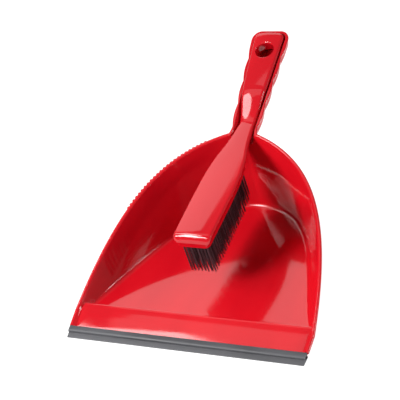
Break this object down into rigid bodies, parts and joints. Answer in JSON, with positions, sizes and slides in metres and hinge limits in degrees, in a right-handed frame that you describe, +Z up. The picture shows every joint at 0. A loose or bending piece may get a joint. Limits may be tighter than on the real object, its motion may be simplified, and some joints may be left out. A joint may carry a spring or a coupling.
{
  "type": "dust pan and brush set",
  "caption": "Dust pan with a soft lip strip and a hollow handle, and a hand brush whose grip nests in that handle.",
  "frame": {"origin": "on the floor, under the middle of the set's length and width", "axes": "+X across the pan, +Y from the lip to the end of the handle, +Z up"},
  "size_m": [0.232, 0.2964, 0.1235],
  "materials": {
    "red_plastic": "glossy injection moulded",
    "lip_rubber": "matte soft",
    "bristle": "fine drawn filament"
  },
  "bodies": {
    "pan": {"pan_body": "red_plastic", "lip_strip": "lip_rubber"},
    "brush": {"brush_shell": "red_plastic", "tuft_block": "red_plastic", "tuft_row_01": "bristle", "tuft_row_02": "bristle", "tuft_row_03": "bristle", "tuft_row_04": "bristle", "tuft_row_05": "bristle", "tuft_row_06": "bristle", "tuft_row_07": "bristle", "tuft_row_08": "bristle", "tuft_row_09": "bristle", "tuft_row_10": "bristle", "tuft_row_11": "bristle", "tuft_row_12": "bristle", "tuft_row_13": "bristle", "tuft_row_14": "bristle", "tuft_row_15": "bristle", "tuft_row_16": "bristle", "tuft_row_17": "bristle", "tuft_row_18": "bristle", "tuft_row_19": "bristle", "tuft_row_20": "bristle", "tuft_row_21": "bristle", "tuft_row_22": "bristle", "tuft_row_23": "bristle", "tuft_row_24": "bristle", "tuft_row_25": "bristle", "tuft_row_26": "bristle", "tuft_row_27": "bristle", "tuft_row_28": "bristle"}
  },
  "joints": [
    {"name": "brush_lift", "type": "slide", "parent": "pan", "child": "brush", "axis": [0, -0.3827, 0.9239], "range_m": [0, 0.1]}
  ]
}
